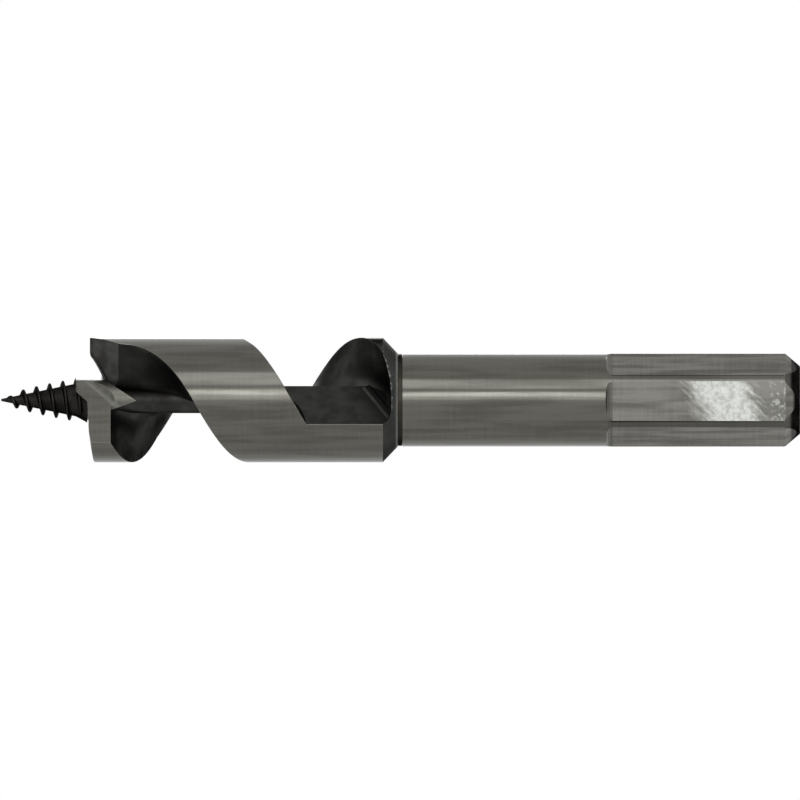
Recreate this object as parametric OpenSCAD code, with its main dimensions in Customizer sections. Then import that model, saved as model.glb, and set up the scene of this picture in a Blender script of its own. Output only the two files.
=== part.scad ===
// Short auger bit for boring timber.
// A black lead screw pulls the bit in, one lip and one spur cut the hole, a single
// flight lifts the chips, and a round shank with a hexagonal end takes the drive.
// All sizes are millimetres. The bit lies along X, with the screw's tip at -X and
// the centre of the drive end's face at the origin.

/* [Overall] */
// Length from the screw's tip to the drive end
overall_length = 109; // [90:0.5:160]
// Roll of the lip below the horizontal as the bit lies
bit_roll = 43; // [0:1:90]

/* [Lead screw] */
// Length of the screw ahead of the hub
screw_len = 10.2; // [8:0.1:14]
// Root diameter where the screw meets the hub
screw_root_d = 4.5; // [3.5:0.1:5.2]
// Diameter over the thread where the screw meets the hub
screw_crest_d = 5.9; // [5:0.1:7]
// Diameter of the blunt tip
screw_tip_d = 0.3; // [0.2:0.05:0.6]
// Advance of the thread in one turn
screw_pitch = 1.8; // [1.4:0.1:2.4]
// Width of the thread at its root
thread_w = 0.62; // [0.4:0.02:0.9]
// Length of the screw's flared foot, which keys into the hub's nose
foot_len = 1.55; // [0.8:0.05:1.55]
// Diameter of the foot where it meets the lip
foot_d = 6.2; // [5:0.1:7]
// Diameter of the plain stem inside the hub
stem_d = 2.2; // [1.6:0.1:2.6]
// Length of the plain stem behind the foot
stem_len = 6; // [4:0.5:9]

/* [Auger body] */
// Diameter of the hole that the bit bores
body_d = 17; // [14:0.5:24]
// Length from the lip to the back of the collar
body_len = 42.2; // [38:0.1:70]
// Advance of the flight in one turn
flight_pitch = 30.5; // [24:0.5:38]
// Length of the land along the axis
land_w = 13.6; // [11:0.1:16]
// Diameter of the core inside the flute
core_d = 3.6; // [3.2:0.1:5]
// Radius at the root of the flute's walls
root_fillet = 1.3; // [0.6:0.1:1.8]
// Length over which the flute runs out flat ahead of the collar
runout_len = 11.55; // [8:0.05:16]
// Thickness of the solid collar behind the flute
collar_w = 0.9; // [0.8:0.1:4]
// Length of the chamfer behind the collar
collar_chamfer = 2.05; // [1.5:0.05:3]

/* [Cutting head] */
// Diameter of the hub that carries the lip
hub_d = 5.5; // [4.8:0.1:7]
// How far the hub's nose stands ahead of the lip
hub_proud = 1.7; // [1.6:0.1:3]
// Thickness of the lip along the axis
lip_thick = 3; // [2:0.1:4]
// How far the lip's outer corner sweeps back
corner_sweep = 0.35; // [0:0.05:0.8]
// Clearance angle of the end face behind the lip
relief_angle = 4; // [2:0.5:7]
// How far the spur's edge stands behind the lip's edge
spur_set = 0.2; // [0:0.05:0.6]
// Width of the spur's edge
spur_w = 2.2; // [1.5:0.1:3]
// Turn from the lip to the leading edge of the spur
spur_start = 184; // [160:1:200]
// Turn from the lip to the trailing edge of the spur
spur_end = 232; // [220:1:240]

/* [Weld] */
// Width of the weld seam behind the collar
weld_w = 0.6; // [0.4:0.1:1.5]
// How far the dressed seam lies below the shank
weld_dip = 0.12; // [0.05:0.01:0.3]
// Diameter of the shank's nose inside the seam
nose_d = 8; // [6:0.5:10]

/* [Shank] */
// Diameter of the round shank
shank_d = 12.7; // [10:0.1:16]
// Depth of each flat below the round of the shank
flat_depth = 0.65; // [0.3:0.05:0.8]
// Length of the hexagonal end
hex_len = 26.6; // [20:0.1:32]
// Roll of the hexagon's first flat below the horizontal
hex_roll = 1.5; // [0:0.5:30]
// Radius where each flat runs out into the round shank
flat_runout = 1; // [0.8:0.1:2]
// Length of the lead-in bevel that ends each flat
lead_in = 2; // [0.5:0.1:3]
// Slope of the lead-in bevel below its flat
lead_in_angle = 25; // [10:1:40]
// Length of the chamfer on the drive end
end_chamfer = 2.1; // [0.5:0.1:3]
// Depth of the chamfer on the drive end
end_chamfer_depth = 1.75; // [0.5:0.05:2.5]

/* [Hidden] */
$fn = 96;

// Radial room that the screw's stem has for the brazing metal
braze_gap = 0.02;
// Overshoot of solids that are trimmed or cut afterwards
over = 0.6;
// Step by which the solids inside the collar lap past one another
lap = collar_w / 8;

// Stations along the bit, measured from the screw's tip
hub_s = screw_len;
lip_s = hub_s + hub_proud;
back_s = lip_s + body_len;
flute_end_s = back_s - collar_w;
collar_s = flute_end_s + 3 * lap;
shank_s = back_s + weld_w;
hex_s = overall_length - hex_len;

body_r = body_d / 2;
core_r = core_d / 2;
hub_r = hub_d / 2;
shank_r = shank_d / 2;

// Turns a solid drawn along +Z, with the lip at +X, into the lying bit
module along_bit(roll = bit_roll)
    translate([-overall_length, 0, 0])
        rotate([-90, 0, 0])
            rotate([0, 90, 0])
                rotate([0, 0, roll])
                    children();

// Round bar between two stations, with its seam turned away from the rake face and the sections
seam_turn = 182;
module rod(s0, s1, r)
    translate([0, 0, s0])
        rotate([0, 0, seam_turn])
            cylinder(h = s1 - s0, r = r);

// LEAD SCREW

// The thread meets the hub at this angle from the lip
thread_meets = -133;
// The thread fades out on the screw's foot at this angle from the lip
thread_ends = 40;
// The thread begins this far behind the tip
thread_start_s = 0.8;
// Angle between two sections of the thread
thread_step = 15;
// The thread grows out of the tip over this turn
thread_growth = 200;
// The thread fades out on the foot over this turn
thread_fade = 50;
// Height that is left of the thread at its two ends
thread_end_h = 0.02;
// Share of the root's radius at which the thread is rooted
thread_rooting = 0.85;
// Exponent of the thread's swelling outline
thread_swell = 0.585;

function root_r(s) =
    (screw_tip_d + (screw_root_d - screw_tip_d) * min(s, hub_s) / hub_s) / 2;
function crest_r(s) = screw_crest_d / 2 * pow(s / hub_s, thread_swell);
function thread_s(a) = hub_s + screw_pitch * (a - thread_meets) / 360;
function thread_angle(s) = thread_meets + 360 * (s - hub_s) / screw_pitch;

// Height of the thread over its root at one angle
function thread_height(a, first) =
    let (s = thread_s(a))
    let (grown = min(1, (a - first) / thread_growth, (thread_ends - a) / thread_fade))
    max(thread_end_h, (crest_r(s) - root_r(s)) * grown);

// Section of the thread: two points sunk in the root and one on the crest
function thread_section(a, first) =
    let (s = thread_s(a))
    let (sunk = root_r(s) * thread_rooting)
    [for (p = [[sunk, -thread_w / 2], [root_r(s) + thread_height(a, first), 0], [sunk, thread_w / 2]])
        [p[0] * cos(a), p[0] * sin(a), s + p[1]]];

// Faces that close a stack of equal rings, each with n points
function loft_faces(rings, n) = concat(
    [[for (i = [n - 1:-1:0]) i]],
    [for (k = [0:rings - 2], i = [0:n - 1])
        [k * n + i, (k + 1) * n + (i + 1) % n, (k + 1) * n + i]],
    [for (k = [0:rings - 2], i = [0:n - 1])
        [k * n + i, k * n + (i + 1) % n, (k + 1) * n + (i + 1) % n]],
    [[for (i = [0:n - 1]) (rings - 1) * n + i]]
);

module thread() {
    first = thread_angle(thread_start_s);
    steps = ceil((thread_ends - first) / thread_step);
    sections = [for (k = [0:steps]) thread_section(first + (thread_ends - first) * k / steps, first)];
    polyhedron([for (ring = sections) each ring], loft_faces(len(sections), len(sections[0])));
}

// The joint between the screw's foot and the hub's nose slants from above the axis to below it
foot_rise = 1.2;
foot_drop = 0.25;
foot_end_s = hub_s + foot_len;
function foot_edge(s) = -foot_rise + (foot_rise + foot_drop) * (s - hub_s) / foot_len;

// Prism across the bit over an outline of depths below the axis and stations
module across_bit(outline)
    rotate([0, 0, 90 - bit_roll])
        rotate([90, 0, 0])
            linear_extrude(2 * body_r, center = true)
                polygon(outline);

// The side of that joint that the screw's foot fills, from a station on
module foot_side(s0)
    across_bit([[foot_edge(s0), s0], [foot_drop, foot_end_s], [body_r, foot_end_s], [body_r, s0]]);

// The other side, which the hub's nose fills
module nose_side(s1)
    across_bit([
        [-foot_rise, hub_s], [foot_drop, foot_end_s], [foot_drop, s1], [-body_r, s1], [-body_r, hub_s]
    ]);

module lead_screw() {
    color("#2b2927")
        along_bit() {
            difference() {
                union() {
                    cylinder(h = hub_s, r1 = screw_tip_d / 2, r2 = screw_root_d / 2);
                    thread();
                }
                nose_side(foot_end_s + foot_len);
            }
            intersection() {
                translate([0, 0, hub_s])
                    cylinder(h = foot_len, d1 = screw_root_d, d2 = foot_d);
                foot_side(hub_s);
            }
            translate([0, 0, hub_s])
                cylinder(h = foot_len + stem_len, d = stem_d);
        }
}

// AUGER BODY

// Angle between two sections of the flight
flight_step = 4;
// Points across each wall of the flight
wall_points = 8;
// The flute's end wall rounds out of the helix over this length
end_round = 3;
// The lip's extra thickness fades over this turn
lip_blend = 100;
// The back wall's helix starts this far behind the lip
wall_lag = 0.94;
// The spur rises over this turn ahead of its leading edge
spur_ramp = 18;
// Exponent of the hollow between the hub and the spur
spur_hollow = 1.3;
// The lip's corner sweeps back from this share of the radius
sweep_start = 0.6;
// The facet behind the spur begins this far behind the lip
throat_drop = 0.5;
// The ground facet behind the spur ends at this angle from the lip
throat_facet_end = spur_end + 20;
// Advance of that facet per degree
throat_facet_rate = 0.172;
// The throat joins the flight's own helix at this angle from the lip
throat_end = 316;
// Exponent of the throat's scooped edge
throat_scoop = 0.54;

// Turn of the flute from the lip to where it runs out
flute_turn = 360 * (body_len - collar_w - runout_len - wall_lag) / flight_pitch;

function advance(a) = flight_pitch * a / 360;
function front_helix(a) = lip_s + wall_lag - land_w + advance(a);
function back_helix(a) = lip_s + wall_lag + advance(a)
    + (lip_thick - wall_lag) * max(0, 1 - a / lip_blend);
function clamp01(t) = max(0, min(1, t));

// The smaller of two stations, rounded over a length where they cross
function smooth_min(u, v, length) =
    min(u, v) - pow(max(length - abs(u - v), 0), 2) / (4 * length);

// Height of a point over the flute's floor, which is the core and then the run-out's flat
function floor_height(a, r) =
    a < floor_normal + 360 ? r - core_r : r * cos(a - floor_normal) - core_r;

// Extra width of the wall from the fillet at the flute's root, which meets the floor at 45 degrees
function flare(a, r) =
    let (h = floor_height(a, r))
    root_fillet / 2 * pow(clamp01(1 - h / root_fillet), 2) + max(0, -h);

// Front wall of the flight, which rounds out square to the axis at the collar
function front_wall(a) = smooth_min(front_helix(a), flute_end_s, end_round);

// Front edge of the throat, from the spur's trailing edge to the helix
throat_facet_s = lip_s + throat_drop + throat_facet_rate * (throat_facet_end - spur_end);
function throat_s(a) =
    a < throat_facet_end ? throat_facet_s - throat_facet_rate * (throat_facet_end - a) :
    a < throat_end ? throat_facet_s + (front_helix(throat_end) - throat_facet_s)
        * pow((a - throat_facet_end) / (throat_end - throat_facet_end), throat_scoop) :
    front_wall(a);

// End face of the head: the lip's clearance, and the spur that rises at the rim
function end_face_s(a, r) =
    let (clear = tan(relief_angle) * body_r * PI / 180 * a)
    let (swept = corner_sweep * pow(clamp01((r / body_r - sweep_start) / (1 - sweep_start)), 2))
    let (rise = clamp01((a - spur_start + spur_ramp) / spur_ramp))
    let (inner = clamp01((body_r - spur_w - r) / (body_r - spur_w - hub_r)))
    let (spur = rise * (1 - pow(inner, spur_hollow)))
    (lip_s + clear + swept) * (1 - spur) + (lip_s + spur_set) * spur;

function front_s(a, r) = max(end_face_s(a, r), throat_s(a) - flare(a, r));
function back_s_at(a, r) = a <= flute_turn ? back_helix(a) + flare(a, r) : collar_s + 2 * lap;

// Radii of the points across a wall, closer together at the root
wall_foot_r = core_r - 0.5;
wall_spread = 1.2;
function wall_radius(i) =
    wall_foot_r + (body_r + over - wall_foot_r) * pow(i / (wall_points - 1), wall_spread);

function flight_section(a) = concat(
    [for (i = [0:wall_points - 1]) let (r = wall_radius(i)) [r * cos(a), r * sin(a), front_s(a, r)]],
    [for (i = [wall_points - 1:-1:0]) let (r = wall_radius(i)) [r * cos(a), r * sin(a), back_s_at(a, r)]]
);

// Past the flute's turn the flight goes round once more, to where the flat floor meets the land
module flight() {
    steps_a = ceil(flute_turn / flight_step);
    steps_b = ceil(360 / flight_step);
    angles = concat(
        [for (k = [0:steps_a - 1]) flute_turn * k / steps_a],
        [for (k = [0:steps_b]) flute_turn + 360 * k / steps_b]);
    sections = [for (a = angles) flight_section(a)];
    polyhedron([for (ring = sections) each ring], loft_faces(len(sections), len(sections[0])));
}

// The flute runs out over a flat floor that clears the core by this much
floor_lift = 0.12;
floor_r = core_r + floor_lift;
floor_normal = flute_turn - acos(floor_r / body_r);
floor_start_s = back_helix(floor_normal);

module run_out_floor() {
    reach = sqrt(body_r * body_r - floor_r * floor_r) + over;
    translate([0, 0, floor_start_s])
        linear_extrude(collar_s + lap - floor_start_s)
            rotate(floor_normal)
                polygon([[0, -over], [floor_r, -over], [floor_r, reach], [0, reach]]);
}

// Turned outline that trims the flight: a ground cylinder with a chamfered collar
module outline() {
    rotate_extrude()
        polygon([
            [0, hub_s],
            [body_r, hub_s],
            [body_r, back_s - collar_chamfer],
            [shank_r, back_s],
            [0, back_s]
        ]);
}

// The rake face is ground flat across the lip and the hub, and clears the core by this much
rake_lift = 0.15;
rake_r = core_r + rake_lift;
rake_turn = asin(rake_r / body_r);
// On the hub it ends in a slanted ramp, which passes this far above the axis, just behind the lip's edge
ramp_out = 1.5;
ramp_set = 0.1;
ramp_slant = 45;

// The lip's part of the face lies this much deeper than the hub's, and its ends lie as deep
lip_set = 0.04;
// It ends this far short of the rim, where it laps into the lip
lip_short = 0.9;
lip_lap = 0.6;

// Fills the lip out from its first section to the rake face, with its corner swept back like the lip's
module rake_wedge() {
    along = sqrt(pow(body_r, 2) - pow(rake_r, 2)) - lip_short;
    sweep_r = sweep_start * body_r;
    translate([0, 0, lip_s + lip_set])
        rotate(rake_turn)
            difference() {
                linear_extrude(lip_thick - 2 * lip_set)
                    polygon([
                        [0, lip_set - rake_r],
                        [along, lip_set - rake_r],
                        [along, lip_lap - rake_r],
                        [0, core_r / 2]
                    ]);
                translate([sweep_r, 0, 0])
                    rotate([0, -atan(corner_sweep / (body_r - sweep_r)), 0])
                        translate([0, -body_r, -body_r])
                            cube([body_r, 2 * body_r, body_r]);
            }
}

// Room that the wheel clears in front of the rake face, up to the ramp
module rake_room()
    rotate([0, 0, rake_turn])
        translate([-ramp_out, -rake_r, lip_s + ramp_set])
            rotate([0, ramp_slant, 0])
                linear_extrude(3 * body_r, center = true)
                    polygon([[0, 0], [-body_r, -body_r], [2 * body_r, -body_r], [2 * body_r, 0]]);

// The hub is cut to a pointed tongue where the throat is ground into it.
// Its corners are measured back from the hub's nose and down from the axis.
tongue_top_s = 3.9;
tongue_tip_s = 8.2;
tongue_tip_y = 0.1;
tongue_low_s = 2.5;
tongue_low_y = 2.2;

module hub() {
    intersection() {
        rod(hub_s, lip_s + body_len / 2, hub_r);
        rotate([0, 0, -bit_roll])
            rotate([0, 90, 0])
                linear_extrude(2 * body_r, center = true)
                    polygon([
                        [-hub_s, -body_r],
                        [-hub_s - tongue_top_s, -hub_r],
                        [-hub_s - tongue_tip_s, tongue_tip_y],
                        [-hub_s - tongue_low_s, tongue_low_y],
                        [-hub_s - tongue_low_s, body_r],
                        [-hub_s, body_r]
                    ]);
    }
}

module auger_body() {
    color("#67655f")
        along_bit()
            difference() {
                union() {
                    intersection() {
                        outline();
                        union() {
                            flight();
                            run_out_floor();
                            translate([0, 0, collar_s])
                                cylinder(h = collar_w + over, r = body_r + over);
                        }
                    }
                    rod(lip_s, collar_s + 3 * lap, core_r);
                    rake_wedge();
                    difference() {
                        hub();
                        rake_room();
                    }
                }
                foot_side(hub_s - over);
                translate([0, 0, hub_s - over])
                    cylinder(h = over + foot_len + stem_len, r = stem_d / 2 + braze_gap);
            }
}

// WELD SEAM

module weld_seam() {
    color("#33312d")
        along_bit()
            rotate_extrude()
                polygon([
                    [nose_d / 2, back_s],
                    [shank_r - weld_dip, back_s],
                    [shank_r - weld_dip / 2, back_s + weld_w / 2],
                    [shank_r - weld_dip, shank_s],
                    [nose_d / 2, shank_s]
                ]);
}

// SHANK

// Points on the arc where a flat runs out
runout_points = 8;

// Cutter for one flat: an arc climbs out of the shank at its start, and a bevel dips at the drive end
module flat_cutter() {
    flat_r = shank_r - flat_depth;
    bevel_r = flat_r - (lead_in + over) * tan(lead_in_angle);
    clear_r = shank_r + flat_runout + over;
    rotate([90, 0, 0])
        linear_extrude(2 * shank_r, center = true)
            polygon(concat(
                [for (k = [0:runout_points])
                    let (t = 90 * k / runout_points)
                    [flat_r + flat_runout * (1 - sin(t)), hex_s + flat_runout * (1 - cos(t))]],
                [[flat_r, overall_length - lead_in], [bevel_r, overall_length + over],
                    [clear_r, overall_length + over], [clear_r, hex_s]]));
}

module shank() {
    color("#6b6963")
        along_bit(hex_roll) {
            difference() {
                union() {
                    translate([0, 0, shank_s])
                        cylinder(h = overall_length - end_chamfer - shank_s, r = shank_r);
                    translate([0, 0, overall_length - end_chamfer])
                        cylinder(h = end_chamfer, r1 = shank_r, r2 = shank_r - end_chamfer_depth);
                }
                for (k = [0:5])
                    rotate([0, 0, 60 * k])
                        flat_cutter();
            }
            translate([0, 0, back_s])
                cylinder(h = weld_w, d = nose_d);
        }
}

lead_screw();
auger_body();
weld_seam();
shank();
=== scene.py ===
"""Looks of a short auger bit: its four pieces, their finishes and a white stage."""

import math
from collections import Counter

import bpy
from bpy.props import FloatProperty, FloatVectorProperty, PointerProperty
from mathutils import Matrix, Vector


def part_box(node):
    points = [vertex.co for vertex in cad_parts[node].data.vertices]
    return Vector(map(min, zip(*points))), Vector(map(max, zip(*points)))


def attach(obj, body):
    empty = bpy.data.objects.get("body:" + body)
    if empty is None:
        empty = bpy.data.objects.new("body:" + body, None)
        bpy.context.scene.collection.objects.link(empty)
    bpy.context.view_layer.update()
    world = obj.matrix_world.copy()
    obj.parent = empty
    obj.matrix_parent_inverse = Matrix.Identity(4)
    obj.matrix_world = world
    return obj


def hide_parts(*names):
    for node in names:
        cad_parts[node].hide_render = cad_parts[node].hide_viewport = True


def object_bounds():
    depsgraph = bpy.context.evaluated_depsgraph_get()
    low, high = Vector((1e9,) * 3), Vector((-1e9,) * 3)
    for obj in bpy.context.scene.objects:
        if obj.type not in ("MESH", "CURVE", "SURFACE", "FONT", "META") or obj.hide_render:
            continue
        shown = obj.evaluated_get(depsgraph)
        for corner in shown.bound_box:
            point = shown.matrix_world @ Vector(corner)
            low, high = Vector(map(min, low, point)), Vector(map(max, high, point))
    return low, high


bl_info = {
    "name": "Auger bit",
    "version": (1, 0, 0),
    "blender": (4, 5, 0),
    "location": "3D View > Sidebar > Auger bit",
    "description": "Models a short auger bit, its ground and blackened finishes and a white stage",
    "category": "Add Mesh",
}

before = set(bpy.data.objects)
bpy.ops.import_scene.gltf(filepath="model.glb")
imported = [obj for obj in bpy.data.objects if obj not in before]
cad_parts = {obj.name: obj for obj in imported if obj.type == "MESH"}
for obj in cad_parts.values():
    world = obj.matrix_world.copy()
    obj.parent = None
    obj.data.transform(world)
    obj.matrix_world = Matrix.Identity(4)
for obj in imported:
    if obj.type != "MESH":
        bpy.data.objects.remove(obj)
CAD_LOW, CAD_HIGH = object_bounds()
BODY_LOW, BODY_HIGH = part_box("auger_body")
SHANK_LOW, SHANK_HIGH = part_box("shank")

MM = 0.001
# Sizes are kept to a hundredth of a millimetre
DIGITS = 5
# Solids that are trimmed or cut afterwards run past each other by this much
OVER = 0.6 * MM
# A surface that would lie on another one is kept below it by this much
UNDER = 0.003 * MM
# Points nearer than this are one point: in a piece, and in a cut or a wound band
SAME_POINT, SAME_CUT = 1e-6, 1e-7
# Sides of round solids
STEM_SIDES, CORE_SIDES, SHANK_SIDES, SEAM_SIDES, TRIM_SIDES = 48, 96, 180, 240, 360
# Steps across a worn edge, and across the curve on which a flat runs out
EDGE_STEPS, RUNOUT_STEPS = 3, 12

# Flight, with turns in degrees from the lip: how far its walls lag behind the lip's edge
WALL_LAG = 0.94 * MM
# Turn over which the thick lip thins to the flight's own thickness
LIP_BLEND = 100
# Share of the radius from which the lip's edge sweeps back
SWEEP_START = 0.6
# Spur: where its edge starts and ends, the ramp up to it, and the power that hollows its face
SPUR_START, SPUR_END, SPUR_RAMP, SPUR_HOLLOW = 210, 232, 18, 0.8
# Throat: a facet that starts behind the lip and falls with each degree, then a scoop
THROAT_DROP = 0.5 * MM
THROAT_FACET_END, THROAT_FACET_RATE = 252, 0.172 * MM
THROAT_END, THROAT_SCOOP, THROAT_ROUND = 316, 0.54, 0.8 * MM
# Run-out: rounding of the front wall, turn of the step to the collar, floor above the core
END_ROUND, STEP_TURN, FLOOR_LIFT = 3 * MM, 4, 0.12 * MM
# Ridge that the cutter leaves on the floor: each end before the flute's end and out along the
# floor, then its section as shares of half its width and of its height
RIDGE_FROM, RIDGE_TO = (3.4 * MM, -0.4 * MM), (-0.1 * MM, 6.8 * MM)
RIDGE_WIDE, RIDGE_HIGH = 1.5 * MM, 0.2 * MM
RIDGE_SECTION = (-1.2, -1), (1.2, -1), (0.8, 0.3), (0.45, 1), (-0.45, 1), (-0.8, 0.3)
# Share of the floor's width beyond which its edge lies on the land
FLOOR_EDGE = 0.9
# Band of the flight: points across a wall and the land, turn between rows, rows before the lip
WALL_POINTS, LAND_POINTS, ROW_TURN, ROWS_AHEAD = 20, 9, 2, 8
# How far the walls reach into the core, and the power by which their points crowd at the root
ROOT_SUNK, ROOT_CROWD = 0.5 * MM, 1.2
# Land's edges: share of their rounding at the lip, turn over which it grows, and how far the
# middle of a rounded edge lies below its two faces
EDGE_AT_LIP, EDGE_GROWTH, EDGE_MIDDLE = 0.3, 60, 0.29
# Shares of the collar at which its disc starts, and at which floor, flight and core end in it
DISC_LAP, FLOOR_LAP, FLIGHT_LAP, CORE_LAP = 0.375, 0.5, 0.625, 0.7

# Rake face: ground across the lip and the hub, up to a slanted ramp
RAKE_LIFT, RAKE_TRIM, RAKE_LEAD = 0.15 * MM, 0.3, 60
RAMP_OUT, RAMP_BEHIND, RAMP_HIGH, RAMP_SLANT = 1.5 * MM, 0.1 * MM, 2 * MM, math.radians(45)
# Tongue of the hub, behind its nose: end of its upper side, its point and its heel
TONGUE_TOP, TONGUE_POINT, TONGUE_HEEL = 3.9 * MM, (8.2 * MM, -0.1 * MM), (2.5 * MM, -2.2 * MM)
# Room for the braze round the screw's stem
BRAZE_GAP = 0.02 * MM

# Screw: where its foot meets the hub, and where its thread starts, meets the hub and fades
FOOT_RISE, FOOT_DROP = 1.2 * MM, 0.25 * MM
THREAD_START = 0.8 * MM
THREAD_MEETS, THREAD_ENDS = -133, 40
THREAD_GROWTH, THREAD_FADE = 200, 50
THREAD_SWELL = 0.585
# The thread's foot is sunk to this share of the root, and its ends keep a little height
THREAD_ROOTING, THREAD_LEAST = 0.85, 0.02 * MM
THREAD_STEP = 7.5
# Blunt V of the thread: shares of its height and of its width
THREAD_SECTION = ((0, -0.5), (0.86, -0.2), (0.97, -0.14), (1, -0.06),
                  (1, 0.06), (0.97, 0.14), (0.86, 0.2), (0, 0.5))

# Weld: shares of its width and of its dip below the shank
WELD_SECTION = (0, 1), (0.15, 0.86), (0.32, 0.62), (0.5, 0.5), (0.68, 0.62), (0.85, 0.86), (1, 1)
# File marks on it: their depth, the share of the dip above which they lie, and their waves
# round the seam with a phase each
RIPPLE_DEEP, RIPPLE_FROM = 0.006 * MM, 0.95
RIPPLES = (23, 0), (37, 1.3), (58, 2.1)

# Shank: its flats, the least angle of a softened edge, how near the end chamfer's cone its faces
# lie, and the share of a normal with which a face looks along X
FLATS, SOFT_ANGLE, CONE_NEAR, END_LOOK = 6, 12, 0.06 * MM, 0.9

# Order of the finishes that the flight and the shank are painted with
LAND, HEAD, FLUTE, PAINTED_LIT_FACET = range(4)
ROUND, FLAT, HIGHLIT, BURNT = range(4)
# Black surfaces are dull to the very edge: share of the sheen that bare steel shows there
BLACK_SHEEN = 0.35

# Stage: the view's width and shift, how far the camera stands off and how near it sees
VIEW_WIDE, VIEW_SHIFT, VIEW_FAR, VIEW_NEAR = 109.12 * MM, 0.1 * MM, 0.25, 0.01
# Floor: its size and its gap below the bit
FLOOR_SIZE, FLOOR_GAP = 4, 0.02 * MM
# Lamps as the bit sees them: how high their lower and upper edges stand in degrees, their
# width, and how bright their faces are
LAMPS = (
    ("Soft box", 28, 52, 0.7, 1.5),
    ("Strip", 9, 19, 0.9, 4.2),
    ("Low card", 1, 8.5, 0.9, 1.6),
    ("Back strip", 172, 158, 0.9, 2.2),
)
LAMP_FAR = 0.55


def srgb(code):
    """Linear colour of an sRGB hex value."""
    shares = [int(code[i:i + 2], 16) / 255 for i in (0, 2, 4)]
    return [c / 12.92 if c <= 0.04045 else ((c + 0.055) / 1.055) ** 2.4 for c in shares]


def length(name, description, default):
    return FloatProperty(name=name, description=description, default=default, min=0,
                         precision=DIGITS, subtype="DISTANCE", unit="LENGTH")


def angle(name, description, default):
    return FloatProperty(name=name, description=description, default=math.radians(default),
                         subtype="ANGLE", unit="ROTATION")


def colour(name, description, code):
    return FloatVectorProperty(name=name, description=description, default=srgb(code), size=3,
                               min=0, max=1, subtype="COLOR")


class AugerBitSizes(bpy.types.PropertyGroup):
    overall: length("Overall length", "From the screw's tip to the drive end",
                    round(CAD_HIGH.x - CAD_LOW.x, DIGITS))
    roll: angle("Roll", "Roll of the lip below the horizontal as the bit lies", 43)

    screw_len: length("Screw length", "Screw ahead of the hub", 10.2 * MM)
    screw_root: length("Screw root", "Root diameter where the screw meets the hub", 4.5 * MM)
    screw_crest: length("Screw crest", "Diameter over the thread where it meets the hub", 5.9 * MM)
    screw_tip: length("Screw tip", "Diameter of the blunt tip", 0.3 * MM)
    screw_pitch: length("Screw pitch", "Advance of the thread in one turn", 1.8 * MM)
    thread_width: length("Thread width", "Width of the thread at its root", 0.78 * MM)
    foot_len: length("Foot length", "Screw's flared foot, keyed into the hub's nose", 1.55 * MM)
    foot: length("Foot", "Diameter of the foot where it meets the lip", 6.2 * MM)
    stem: length("Stem diameter", "Plain stem inside the hub", 2.2 * MM)
    stem_len: length("Stem length", "Plain stem behind the foot", 6 * MM)

    bore: length("Bore", "Diameter of the hole that the bit makes",
                 round(BODY_HIGH.y - BODY_LOW.y, DIGITS))
    body_len: length("Body length", "From the lip to the back of the collar", 42.2 * MM)
    pitch: length("Flight pitch", "Advance of the flight in one turn", 30.5 * MM)
    land: length("Land width", "Length of the land along the axis", 13.6 * MM)
    core: length("Core", "Diameter of the core inside the flute", 3.6 * MM)
    root_fillet: length("Root fillet", "Radius at the root of the flute's walls", 1.3 * MM)
    runout_len: length("Run-out", "Length over which the flute runs out flat", 11.55 * MM)
    collar: length("Collar", "Thickness of the solid collar behind the flute", 0.9 * MM)
    collar_chamfer: length("Collar chamfer", "Length of the chamfer behind the collar", 2.05 * MM)
    hub: length("Hub", "Diameter of the hub that carries the lip", 5.5 * MM)
    hub_proud: length("Hub nose", "How far the hub stands ahead of the lip", 1.7 * MM)
    lip_thick: length("Lip", "Thickness of the lip along the axis", 3 * MM)
    corner_sweep: length("Corner sweep", "How far the lip's outer corner sweeps back", 0.35 * MM)
    relief: angle("Relief", "Clearance angle of the end face behind the lip", 4)
    spur_set: length("Spur set", "How far the spur's edge stands behind the lip's edge", 0.2 * MM)
    spur_width: length("Spur width", "Width of the spur's edge", 2.2 * MM)
    land_edge: length("Land edge", "Rounding that wear has left on the land's edges", 0.11 * MM)

    weld: length("Weld width", "Width of the weld seam behind the collar", 0.6 * MM)
    weld_dip: length("Weld dip", "How far the dressed seam lies below the shank", 0.12 * MM)
    nose: length("Shank nose", "Diameter of the shank inside the seam", 8 * MM)

    shank: length("Shank", "Diameter of the round shank",
                  round(SHANK_HIGH.y - SHANK_LOW.y, DIGITS))
    flat_depth: length("Flat depth", "Depth of each flat below the round", 0.65 * MM)
    hex_len: length("Hexagon length", "Length of the hexagonal end", 26.6 * MM)
    hex_roll: angle("Hexagon roll", "Roll of the first flat below the horizontal", 1.5)
    flat_runout: length("Flat run-out", "Radius where each flat runs out", 1 * MM)
    lead_in: length("Lead-in", "Bevel that ends each flat", 2 * MM)
    lead_in_slope: angle("Lead-in slope", "Slope of that bevel below its flat", 25)
    end_chamfer: length("End chamfer", "Length of the chamfer on the drive end", 2.1 * MM)
    end_depth: length("End chamfer depth", "Depth of the chamfer on the drive end", 1.75 * MM)
    shank_edge: length("Shank edge", "Rounding on the edges of the flats", 0.09 * MM)


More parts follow.
